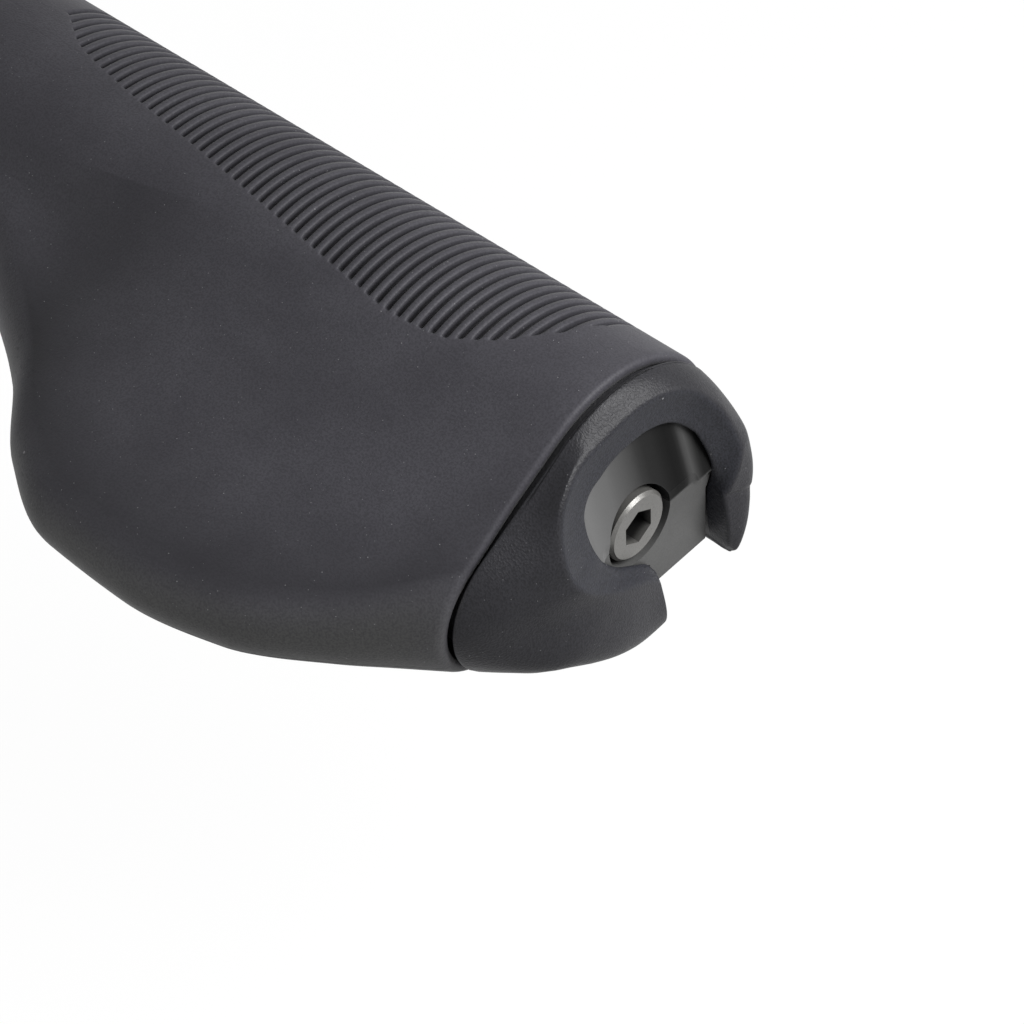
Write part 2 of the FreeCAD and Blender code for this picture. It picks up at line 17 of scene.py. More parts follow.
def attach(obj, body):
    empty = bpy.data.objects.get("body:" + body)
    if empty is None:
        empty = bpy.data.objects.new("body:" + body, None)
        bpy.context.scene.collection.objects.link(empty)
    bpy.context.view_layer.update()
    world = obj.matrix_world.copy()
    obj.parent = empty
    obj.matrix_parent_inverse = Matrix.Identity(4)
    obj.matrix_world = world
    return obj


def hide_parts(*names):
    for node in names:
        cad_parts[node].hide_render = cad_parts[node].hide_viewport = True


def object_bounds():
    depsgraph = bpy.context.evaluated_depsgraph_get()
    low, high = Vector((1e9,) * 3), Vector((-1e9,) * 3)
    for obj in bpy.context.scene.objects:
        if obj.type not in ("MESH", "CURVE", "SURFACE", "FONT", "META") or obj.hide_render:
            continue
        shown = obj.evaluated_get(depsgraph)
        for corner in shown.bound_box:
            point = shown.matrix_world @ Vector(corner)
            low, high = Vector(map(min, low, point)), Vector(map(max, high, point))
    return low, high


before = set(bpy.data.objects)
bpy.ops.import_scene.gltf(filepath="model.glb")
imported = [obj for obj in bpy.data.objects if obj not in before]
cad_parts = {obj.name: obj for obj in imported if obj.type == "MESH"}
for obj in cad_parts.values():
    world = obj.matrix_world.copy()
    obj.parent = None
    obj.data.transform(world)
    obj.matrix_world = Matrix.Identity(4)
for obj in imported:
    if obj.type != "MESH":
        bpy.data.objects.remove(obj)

CAD_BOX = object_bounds()
MM = 0.001
LOG = logging.getLogger("grip")
Array = np.ndarray
Colour = tuple[float, float, float]
Place = tuple[float, float, float]
Table = tuple[tuple[float, ...], tuple[float, ...]]
Socket = bpy.types.NodeSocket
Sockets = bpy.types.bpy_prop_collection


class Detail(Enum):
    """What a finish adds for its own piece."""

    NONE = "none"
    BOWL_LIGHT = "bowl_light"
    TURNED = "turned"


# ------------------------------------------------------------------------- curves and meshes


def fade(value: Array, start: float, end: float) -> Array:
    """Ease from 0 at start to 1 at end: three squares less two cubes of the share between."""
    share = np.clip((value - start) / (end - start), 0.0, 1.0)
    return share * share * (3.0 - 2.0 * share)


def cubic(left: Array, right: Array, leave: Array, arrive: Array, share: Array) -> Array:
    """Read the cubic with given end values and end slopes at shares of its span."""
    return (left * (1 + 2 * share) * (1 - share) ** 2 + right * share * share * (3 - 2 * share)
            + leave * share * (1 - share) ** 2 + arrive * share * share * (share - 1))


def through(knots: Array, values: Array, at: Array) -> Array:
    """Draw a smooth curve through values at knots, without overshoot, and read it.

    Each span is a cubic whose end slopes are the harmonic mean of the slopes on both sides of a
    knot, or zero where those slopes differ in sign. The curve is held beyond its two ends.

    Args:
        knots: Rising positions of the knots.
        values: The curve's value at each knot.
        at: Positions to read the curve at.

    Returns:
        The curve's values at those positions.
    """
    knots, values = np.asarray(knots, float), np.asarray(values, float)
    at = np.clip(at, knots[0], knots[-1])
    span = np.diff(knots)
    rise = np.diff(values) / span
    same = rise[:-1] * rise[1:] > 0
    total = np.where(same, rise[:-1] + rise[1:], 1.0)
    inner = np.where(same, 2 * rise[:-1] * rise[1:] / total, 0.0)
    slope = np.concatenate([rise[:1], inner, rise[-1:]])
    index = np.clip(np.searchsorted(knots, at, side="right") - 1, 0, len(knots) - 2)
    share = (at - knots[index]) / span[index]
    return cubic(values[index], values[index + 1], slope[index] * span[index],
                 slope[index + 1] * span[index], share)


def flowing(points: Array, count: int) -> Array:
    """Draw one smooth line through points and read it at evenly spread places.

    Each span is a cubic whose end slopes run from the point before to the point after.

    Args:
        points: The points, one row each.
        count: How many places to read on each span.

    Returns:
        The places on the line, from the first point to the last.
    """
    points = np.asarray(points, float)
    slope = np.gradient(points, axis=0)
    share = (np.arange(count) / count)[None, :, None]
    line = cubic(points[:-1, None], points[1:, None], slope[:-1, None], slope[1:, None], share)
    return np.vstack([line.reshape(-1, points.shape[1]), points[-1:]])


def unit(vectors: Array) -> Array:
    """Scale each vector to a length of one."""
    return vectors / np.maximum(np.linalg.norm(vectors, axis=-1, keepdims=True), 1e-9)


def between(count: int) -> Array:
    """Spread shares evenly between 0 and 1, with neither end."""
    return np.linspace(0, 1, count + 2)[1:-1]


def straight(start: Array, end: Array, shares: Array) -> Array:
    """Go along straight lines, one for each row: the start plus shares of the way to the end.

    Args:
        start: Where each line starts, a point or a plain number.
        end: Where each line ends.
        shares: The shares of the way to stop at.

    Returns:
        The stops, rows by shares.
    """
    steps = shares if np.ndim(end) == 1 else shares[:, None]
    return start[:, None] + (end - start)[:, None] * steps


def corner(before: Array, tip: Array, after: Array, count: int) -> Array:
    """Round off corners, one for each row, with a parabola that touches both of its sides.

    Args:
        before: Where each parabola starts.
        tip: The sharp corners.
        after: Where each parabola ends.
        count: How many points each one has.

    Returns:
        The points, rows by count by three.
    """
    share = np.linspace(0, 1, count)[:, None]
    return ((1 - share) ** 2 * before[:, None] + 2 * share * (1 - share) * tip[:, None]
            + share * share * after[:, None])


def arc(centre: Array, radius: Array, turn: Array) -> tuple[Array, Array]:
    """Go round circles, one for each row: the centre plus the radius times cosine and sine.

    Args:
        centre: Each circle's centre.
        radius: Each circle's radius.
        turn: The angles to stop at, in radians, one row for each circle.

    Returns:
        The stops and the outward directions there, rows by angles by two.
    """
    out = np.stack([np.cos(turn), np.sin(turn)], axis=-1)
    return centre[:, None] + out * radius[:, None, None], out


def grid_faces(rows: int, columns: int, wrap_rows: bool) -> Array:
    """List the quads of a grid whose last column joins its first, by vertex number.

    Args:
        rows: Vertices down the grid.
        columns: Vertices across it.
        wrap_rows: Join the last row to the first too.

    Returns:
        One row of four vertex numbers for each quad.
    """
    down = np.arange(rows if wrap_rows else rows - 1)[:, None]
    over = np.arange(columns)[None, :]
    below, beside = (down + 1) % rows, (over + 1) % columns
    corners = [down * columns + over, below * columns + over,
               below * columns + beside, down * columns + beside]
    return np.stack(np.broadcast_arrays(*corners), axis=-1).reshape(-1, 4)


def solid_volume(points: Array, quads: Array) -> float:
    """Sum the signed volumes between the origin and each half quad; positive faces outwards."""
    a, b, c, d = (points[quads[:, i]] for i in range(4))
    return float(np.sum(np.einsum("ij,ij->i", a, np.cross(b, c) + np.cross(c, d))) / 6.0)


def grip_piece(name: str, points: Array, shares: Array, wrap_rows: bool,
               material: bpy.types.Material) -> bpy.types.Object:
    """Make a smooth piece from a grid of points, and let it ride on the grip.

    Args:
        name: The piece's name.
        points: The vertices in millimetres, rows by columns by three.
        shares: Each vertex's share of its second colour, partly painted light, and of its shade.
        wrap_rows: Join the grid's last row to the first.
        material: Its finish.

    Returns:
        The new object, at the origin.
    """
    quads = grid_faces(points.shape[0], points.shape[1], wrap_rows)
    points = points.reshape(-1, 3)
    if solid_volume(points, quads) < 0:
        quads = quads[:, ::-1]
    mesh = bpy.data.meshes.new(name)
    mesh.vertices.add(len(points))
    mesh.vertices.foreach_set("co", (points * MM).astype(np.float32).ravel())
    mesh.loops.add(quads.size)
    mesh.loops.foreach_set("vertex_index", quads.astype(np.int32).ravel())
    mesh.polygons.add(len(quads))
    mesh.polygons.foreach_set("loop_start", np.arange(0, quads.size, 4, dtype=np.int32))
    mesh.polygons.foreach_set("use_smooth", np.ones(len(quads), dtype=bool))
    mesh.update(calc_edges=True)
    mesh.validate()
    mesh.materials.append(material)
    for key, values in zip(("light_and_bevel_share", "shade_share"), shares.reshape(-1, 2).T):
        layer = mesh.attributes.new(key, "FLOAT", "POINT")
        layer.data.foreach_set("value", np.ascontiguousarray(values, dtype=np.float32))
    piece = bpy.data.objects.new(name, mesh)
    bpy.context.scene.collection.objects.link(piece)
    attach(piece, "grip")
    return piece


def weld(piece: bpy.types.Object) -> None:
    """Join the vertices that lie on one another, so that a tip drawn in to a point is clean.

    Args:
        piece: The piece.
    """
    work = bmesh.new()
    work.from_mesh(piece.data)
    bmesh.ops.remove_doubles(work, verts=work.verts, dist=0.0001 * MM)
    work.to_mesh(piece.data)
    work.free()


# ---------------------------------------------------------------------------- node building


@dataclass
class Nodes:
    """A node tree with short ways to add wired nodes."""

    tree: bpy.types.NodeTree

    def wire(self, source: Socket, target: Socket) -> None:
        """Join an output socket to an input socket."""
        self.tree.links.new(source, target)

    def add(self, kind: str, inputs: dict[object, object], **settings: object) -> bpy.types.Node:
        """Add a node.

        Args:
            kind: The node's type.
            inputs: For each input, by name or number, its value or the socket that feeds it.
            settings: The node's own settings.

        Returns:
            The new node.
        """
        node = self.tree.nodes.new(kind)
        for key, value in settings.items():
            setattr(node, key, value)
        for key, value in inputs.items():
            if isinstance(value, Socket):
                self.wire(value, node.inputs[key])
            else:
                node.inputs[key].default_value = value
        return node

    def math(self, operation: str, a: object, b: object = 0.0, clamp: bool = False) -> Socket:
        """Work out one sum, product or the like."""
        node = self.add("ShaderNodeMath", {0: a, 1: b}, operation=operation, use_clamp=clamp)
        return node.outputs[0]

    def noise(self, place: Socket, scale: object, detail: float, roughness: float) -> Socket:
        """Read cloudy noise at a place."""
        inputs = {"Vector": place, "Scale": scale, "Detail": detail, "Roughness": roughness}
        return self.add("ShaderNodeTexNoise", inputs).outputs[0]

    def ramp(self, value: Socket, low: float, high: float, to_low: float = 0.0,
             to_high: float = 1.0) -> Socket:
        """Map a value from one range to another, eased and held at both ends."""
        inputs = {0: value, 1: low, 2: high, 3: to_low, 4: to_high}
        return self.add("ShaderNodeMapRange", inputs, interpolation_type="SMOOTHSTEP").outputs[0]

    def blend(self, share: Socket, one: Socket | Colour, two: Socket | Colour) -> Socket:
        """Mix two colours by a share.

        Args:
            share: How much of the second colour there is.
            one: The first colour, or the socket that gives it.
            two: The second colour, or the socket that gives it.

        Returns:
            The mixed colour.
        """
        pair = [side if isinstance(side, Socket) else (*side, 1.0) for side in (one, two)]
        inputs = {0: share, 6: pair[0], 7: pair[1]}
        return self.add("ShaderNodeMix", inputs, data_type="RGBA").outputs[2]

    def effect(self, group: bpy.types.NodeTree, place: Socket, **values: float) -> bpy.types.Node:
        """Place one of the shared groups with its own values."""
        return self.add("ShaderNodeGroup", {"Place": place, **values}, node_tree=group)

    def bar_distance(self, place: Socket) -> tuple[Socket, list[Socket]]:
        """Work out the distance from the bar's axis: the root of y squared plus z squared.

        Args:
            place: The place, as a vector.

        Returns:
            The distance, and the place's own x, y and z.
        """
        parts = list(self.add("ShaderNodeSeparateXYZ", {0: place}).outputs)
        squares = [self.math("MULTIPLY", part, part) for part in parts[1:]]
        return self.math("SQRT", self.math("ADD", *squares)), parts


def new_group(name: str, inputs: dict[str, float],
              outputs: tuple[str, ...]) -> tuple[Nodes, Sockets, Sockets]:
    """Make a shader node group with float inputs beside Place, a vector, and float outputs.

    Args:
        name: The group's name.
        inputs: Each input's name and its usual value.
        outputs: The outputs' names.

    Returns:
        The group's nodes, what the group is given, and what it puts out.
    """
    tree = bpy.data.node_groups.new(name, "ShaderNodeTree")
    tree.interface.new_socket("Place", in_out="INPUT", socket_type="NodeSocketVector")
    for key, value in inputs.items():
        socket = tree.interface.new_socket(key, in_out="INPUT", socket_type="NodeSocketFloat")
        socket.default_value = value
    for key in outputs:
        tree.interface.new_socket(key, in_out="OUTPUT", socket_type="NodeSocketFloat")
    nodes = Nodes(tree)
    source, sink = nodes.add("NodeGroupInput", {}), nodes.add("NodeGroupOutput", {})
    return nodes, source.outputs, sink.inputs


def moulded_grain() -> bpy.types.NodeTree:
    """Moulded grain: pebbles of a given pitch, roughened by finer noise.

    Returns:
        A group that puts out Height and Tone, both from 0 to 1.
    """
    nodes, given, put = new_group("moulded_grain", {"Pitch": 0.0003, "Fine": 0.4},
                                  ("Height", "Tone"))
    scale = nodes.math("DIVIDE", 1.0, given["Pitch"])
    pebble = nodes.noise(given["Place"], scale, 1.0, 0.4)
    finer = nodes.noise(given["Place"], nodes.math("MULTIPLY", scale, 3.1), 1.0, 0.5)
    fine = nodes.math("MULTIPLY", nodes.math("SUBTRACT", finer, 0.5), given["Fine"])
    nodes.wire(nodes.math("ADD", nodes.ramp(pebble, 0.35, 0.68), fine), put["Height"])
    nodes.wire(nodes.ramp(pebble, 0.3, 0.75), put["Tone"])
    return nodes.tree


def dust_specks() -> bpy.types.NodeTree:
    """Dust: small round specks at scattered points, of several sizes, only some kept.

    Returns:
        A group that puts out Mask, up to 1 on a speck.
    """
    nodes, given, put = new_group("dust_specks", {"Pitch": 0.0012, "Size": 0.12, "Kept": 0.3},
                                  ("Mask",))
    scale = nodes.math("DIVIDE", 1.0, given["Pitch"])
    cells = nodes.add("ShaderNodeTexVoronoi", {"Vector": given["Place"], "Scale": scale},
                      feature="F1")
    chance, size, strength = nodes.add("ShaderNodeSeparateColor",
                                       {0: cells.outputs["Color"]}).outputs
    reach = nodes.math("MULTIPLY", given["Size"], nodes.math("ADD", 0.45, size))
    inside = nodes.math("LESS_THAN", cells.outputs["Distance"], reach)
    kept = nodes.math("LESS_THAN", chance, given["Kept"])
    faint = nodes.math("ADD", 0.3, nodes.math("MULTIPLY", strength, 0.7))
    nodes.wire(nodes.math("MULTIPLY", nodes.math("MULTIPLY", inside, kept), faint), put["Mask"])
    return nodes.tree


def handling_marks() -> bpy.types.NodeTree:
    """Handling marks: broad cloudy patches with faint fine scuffs along the bar.

    Returns:
        A group that puts out Cloud and Scuff, both from 0 to 1.
    """
    nodes, given, put = new_group("handling_marks", {"Breadth": 0.012}, ("Cloud", "Scuff"))
    scale = nodes.math("DIVIDE", 1.0, given["Breadth"])
    cloud = nodes.noise(given["Place"], scale, 3.0, 0.55)
    stretch = nodes.add("ShaderNodeMapping", {"Vector": given["Place"], "Scale": (0.25, 5.0, 5.0),
                                              "Rotation": (0.3, 0.2, 0.7)})
    scuff = nodes.noise(stretch.outputs[0], nodes.math("MULTIPLY", scale, 6.0), 3.0, 0.6)
    nodes.wire(nodes.ramp(cloud, 0.3, 0.7), put["Cloud"])
    nodes.wire(nodes.ramp(scuff, 0.52, 0.72), put["Scuff"])
    return nodes.tree


@dataclass
class Effects:
    """The surface effects that several finishes share, each made once as a node group."""

    grain: bpy.types.NodeTree = field(default_factory=moulded_grain)
    dust: bpy.types.NodeTree = field(default_factory=dust_specks)
    handling: bpy.types.NodeTree = field(default_factory=handling_marks)


# --------------------------------------------------------------------------------- finishes


@dataclass(frozen=True)
class PaintedBowlLight:
    """Painted light on the bowl in the clamp's face: a painted reflection, bright at its rear,
    then painted shade, with one painted highlight streak.

    levels holds the painted grey at places from rear to front, and the three ranges are where the
    bowl takes over: away from the screw, near the face, and above the clamp's seam.
    """

    start: float = -7.0
    span: float = 20.0
    levels: tuple[tuple[float, float], ...] = (
        (-6.5, 0.102), (-4.5, 0.083), (-2.9, 0.074), (-1.8, 0.060), (-0.2, 0.045), (0.9, 0.034),
        (1.9, 0.021), (3.0, 0.0141), (4.2, 0.0125), (5.3, 0.0088), (6.3, 0.0067), (7.2, 0.008),
        (7.7, 0.014), (8.2, 0.034), (8.7, 0.043), (9.2, 0.028), (9.7, 0.0153), (10.2, 0.0093),
        (12.0, 0.009))
    away: tuple[float, float] = (4.6, 5.0)
    face: tuple[float, float] = (124.4, 125.0)
    above: tuple[float, float] = (-0.1, 0.3)

    def paint(self, nodes: Nodes, place: Socket, base: Socket) -> Socket:
        """Lay the bowl's painted light and shade over a base colour.

        Args:
            nodes: The material's nodes.
            place: The object coordinates.
            base: The base colour.

        Returns:
            The colour with the bowl's painted light and shade in its place.
        """
        radius, (x, y, z) = nodes.bar_distance(place)
        along = nodes.math("MULTIPLY", nodes.math("ADD", y, -self.start * MM),
                           1 / (self.span * MM))
        # Painted reflection and shade: greys along y, bright at the rear, dark in front, one
        # highlight streak.
        curve = nodes.add("ShaderNodeValToRGB", {0: along})
        ramp = curve.color_ramp.elements
        ramp.remove(ramp[1])
        for step, level in self.levels:
            ramp.new((step - self.start) / self.span).color = (level, level, level, 1.0)
        ramp.remove(ramp[0])
        masks = [nodes.ramp(value, low * MM, high * MM) for value, (low, high) in
                 ((radius, self.away), (x, self.face), (z, self.above))]
        share = nodes.math("MULTIPLY", nodes.math("MULTIPLY", *masks[:2]), masks[2])
        return nodes.blend(share, base, curve.outputs[0])


@dataclass(frozen=True)
class ScrewHead:
    """The screw's turned rings and the painted shade in its hex socket."""

    rings_per_metre: float = 9000.0
    socket_shade: Colour = (0.008, 0.008, 0.008)
    socket_shade_share: float = 0.92
    close: tuple[float, float] = (2.5, 2.3)
    below: tuple[float, float] = (127.9, 126.8)

    def paint(self, nodes: Nodes, place: Socket, base: Socket) -> Socket:
        """Lay painted shade over a base colour, close to the screw's axis and below its face.

        Args:
            nodes: The material's nodes.
            place: The object coordinates.
            base: The base colour.

        Returns:
            The colour with the painted shade.
        """
        # Painted shade: darker in the hex socket, close to the axis and below the head's face.
        radius, (x, _, _) = nodes.bar_distance(place)
        masks = [nodes.ramp(value, low * MM, high * MM) for value, (low, high) in
                 ((radius, self.close), (x, self.below))]
        share = nodes.math("MULTIPLY", nodes.math("MULTIPLY", *masks), self.socket_shade_share)
        return nodes.blend(share, base, self.socket_shade)

    def rings(self, nodes: Nodes, place: Socket) -> Socket:
        """Read the height of the tool's rings: noise by distance from the bar's axis alone."""
        join = nodes.add("ShaderNodeCombineXYZ", {0: nodes.bar_distance(place)[0]})
        return nodes.noise(join.outputs[0], self.rings_per_metre, 2.0, 0.6)


@dataclass(frozen=True)
class Finish:
    """One moulded or machined finish: its colours, gloss, grain and dust, with lengths in metres.

    faced is the second colour of a piece with shares, which holds painted light, and sunk is what
    its painted shade goes to.
    specks holds the pitch of each kind of dust, a speck's size as a share of that pitch, and
    how much of dust_kept it takes.
    """

    name: str
    colour: Colour
    worn: Colour
    rough: float
    rough_spread: float = 0.08
    metal: float = 0.0
    specular: float = 0.5
    sheen: float = 0.0
    grain_pitch: float = 0.0003
    grain_depth: float = 0.00002
    grain_tone: float = 0.2
    grain_dark: float = 0.45
    dust_kept: float = 0.0
    dust_colour: Colour = (0.14, 0.14, 0.145)
    specks: tuple[tuple[float, float, float], ...] = ((0.00055, 0.08, 1.0), (0.0036, 0.032, 0.8))
    light_and_bevel_colour: Colour | None = None
    sunk: Colour = (0.003, 0.003, 0.0035)
    detail: Detail = Detail.NONE

    def make(self, effects: Effects) -> bpy.types.Material:
        """Build the material.

        Args:
            effects: The shared node groups.

        Returns:
            The material, which reads Object coordinates.
        """
        material = bpy.data.materials.new(self.name)
        material.use_nodes = True
        nodes = Nodes(material.node_tree)
        shader = material.node_tree.nodes["Principled BSDF"].inputs
        place = nodes.add("ShaderNodeTexCoord", {}).outputs["Object"]
        grain = nodes.effect(effects.grain, place, Pitch=self.grain_pitch).outputs
        marks = nodes.effect(effects.handling, place).outputs
        base = nodes.blend(marks["Cloud"], self.colour, self.worn)
        # Painted light and painted shade, by each vertex's shares.
        if self.light_and_bevel_colour is not None:
            for key, colour in (("light_and_bevel_share", self.light_and_bevel_colour), ("shade_share", self.sunk)):
                share = nodes.add("ShaderNodeAttribute", {}, attribute_name=key)
                base = nodes.blend(share.outputs["Fac"], base, colour)
        dark = tuple(self.grain_dark * part for part in self.colour)
        base = nodes.blend(nodes.math("MULTIPLY", grain["Tone"], self.grain_tone), base, dark)
        height = grain["Height"]
        if self.detail is Detail.BOWL_LIGHT:
            # Painted reflection and shade on the jaws' bowl.
            base = PaintedBowlLight().paint(nodes, place, base)
        elif self.detail is Detail.TURNED:
            # Painted shade in the screw's hex socket, beside its turned rings.
            base = ScrewHead().paint(nodes, place, base)
            height = ScrewHead().rings(nodes, place)
        if self.dust_kept > 0:
            base = self.dusted(nodes, effects, place, base)
        rough = nodes.ramp(marks["Scuff"], 0.0, 1.0, self.rough, self.rough + self.rough_spread)
        bump = nodes.add("ShaderNodeBump", {"Strength": 1.0, "Distance": self.grain_depth,
                                            "Height": height})
        nodes.wire(base, shader["Base Color"])
        nodes.wire(rough, shader["Roughness"])
        nodes.wire(bump.outputs["Normal"], shader["Normal"])
        shader["Metallic"].default_value = self.metal
        shader["Specular IOR Level"].default_value = self.specular
        shader["Sheen Weight"].default_value = self.sheen
        return material

    def dusted(self, nodes: Nodes, effects: Effects, place: Socket, base: Socket) -> Socket:
        """Scatter both kinds of dust over a base colour.

        Args:
            nodes: The material's nodes.
            effects: The shared node groups.
            place: The object coordinates.
            base: The base colour.

        Returns:
            The colour with the dust.
        """
        masks = [nodes.effect(effects.dust, place, Pitch=pitch, Size=size,
                              Kept=self.dust_kept * share).outputs["Mask"]
                 for pitch, size, share in self.specks]
        return nodes.blend(nodes.math("MAXIMUM", *masks), base, self.dust_colour)


# The rubber's second colour is painted light on the wing's rim and underside.
RUBBER = Finish("grip_rubber", (0.0305, 0.0295, 0.0350), (0.0400, 0.0390, 0.0455), 0.54,
                rough_spread=0.12, specular=0.13, sheen=0.03, grain_pitch=0.00025,
                grain_depth=0.000008, grain_tone=0.42, dust_kept=0.38,
                light_and_bevel_colour=(0.040, 0.040, 0.0395))
# The shell's second colour is a lighter bevel band, partly a finish of its own, partly painted
# light.
SHELL = Finish("shell_nylon", (0.0145, 0.0143, 0.0165), (0.0190, 0.0188, 0.0215), 0.42,
               specular=0.12, grain_pitch=0.00024, grain_depth=0.000018, grain_tone=0.6,
               dust_kept=0.30, light_and_bevel_colour=(0.0172, 0.0177, 0.0218))
CORE = Finish("core_nylon", (0.014, 0.014, 0.016), (0.020, 0.020, 0.022), 0.5, specular=0.3,
              grain_pitch=0.0004)
JAWS = Finish("jaw_alloy", (0.0645, 0.0645, 0.064), (0.0825, 0.0825, 0.082), 0.36,
              rough_spread=0.12, metal=0.3, specular=0.0, grain_pitch=0.00012,
              grain_depth=0.000003, grain_tone=0.25, detail=Detail.BOWL_LIGHT)
STEEL = Finish("screw_steel", (0.115, 0.113, 0.108), (0.16, 0.157, 0.15), 0.34,
               rough_spread=0.2, metal=0.6, grain_pitch=0.0002, grain_depth=0.000006,
               grain_tone=0.3, detail=Detail.TURNED)
WEDGE = Finish("wedge_alloy", (0.42, 0.42, 0.43), (0.50, 0.50, 0.51), 0.34, rough_spread=0.18,
               metal=1.0, grain_pitch=0.00018, grain_depth=0.000006, grain_tone=0.3)
RING = Finish("ring_rubber", (0.018, 0.018, 0.02), (0.026, 0.026, 0.028), 0.6, specular=0.3)


# ----------------------------------------------------------------------------- rubber sleeve


@dataclass
class Slots:
    """The row of cross slots over the tube: thin cuts that follow its curve.

    rear and front hold the angles round the tube, in degrees, where the slots end at places
    along the bar. wall is where a cut starts and where it is at its full depth, counted from
    half the width, and run_out the same at a slot's two ends, in degrees. mesh_steps places
    the mesh's rows, counted from half the width too.
    """

    first: float = 36.1
    pitch: float = 1.528
    count: int = 53
    width: float = 0.68
    depth: float = 0.85
    wall: tuple[float, float] = (0.07, -0.10)
    run_out: tuple[float, float] = (-0.96, 1.44)
    mesh_steps: tuple[float, ...] = (0.10, 0.015, -0.035, -0.11)
    rear: Table = (
        (36.1, 42.4, 51.7, 64.4, 78.2, 90.4, 98.1, 104.2, 107.3, 110.4, 113.2, 114.7, 115.6),
        (67, 81, 88, 94, 101, 107, 110, 108, 103, 96, 84, 76, 61))
    front: Table = ((36.1, 42.0, 50.0, 70.0, 96.0, 107.0, 112.5, 115.6),
                    (20, -8, -26, -38, -38, -24, 0, 28))

    def rows(self) -> Array:
        """Place the mesh's rows along the bar: eight on each slot, at its lips, walls and floor.

        Returns:
            The rows' places, in order.
        """
        middles = self.first + self.pitch * np.arange(self.count)
        steps = self.width / 2 + np.array(self.mesh_steps)
        offsets = np.concatenate([-steps, steps[::-1]])
        return (middles[:, None] + offsets[None, :]).ravel()

    def sunk(self, x: Array, angle: Array) -> Array:
        """Work out how deep the slots lie below the tube at each place.

        The depth is the product of a flat-bottomed trough across each slot and a rounded run-out
        at its two ends.

        Args:
            x: Places along the bar, one for each row.
            angle: The angle round the tube of every vertex, in degrees.

        Returns:
            The depth of every vertex.
        """
        nearest = np.round((x - self.first) / self.pitch)
        inside = (nearest >= 0) & (nearest < self.count)
        off = np.abs(x - self.first - nearest * self.pitch)
        across = fade(off, *(self.width / 2 + step for step in self.wall)) * inside
        ends = np.minimum(through(*self.rear, x)[:, None] - angle,
                          angle - through(*self.front, x)[:, None])
        return self.depth * across[:, None] * fade(ends, *self.run_out)


@dataclass
class Section:
    """The sleeve's plain outline at places along the bar, before anything is cut into it.

    The columns of points and out run round the front arc, along the top, round the wing's edge
    and back below; top, rear and under are the last three runs. turn holds the edge's angles.
    """

    x: Array
    reach: Array
    edge: Array
    distance: Array
    turn: Array
    points: Array
    out: Array
    top: slice
    rear: slice
    under: slice


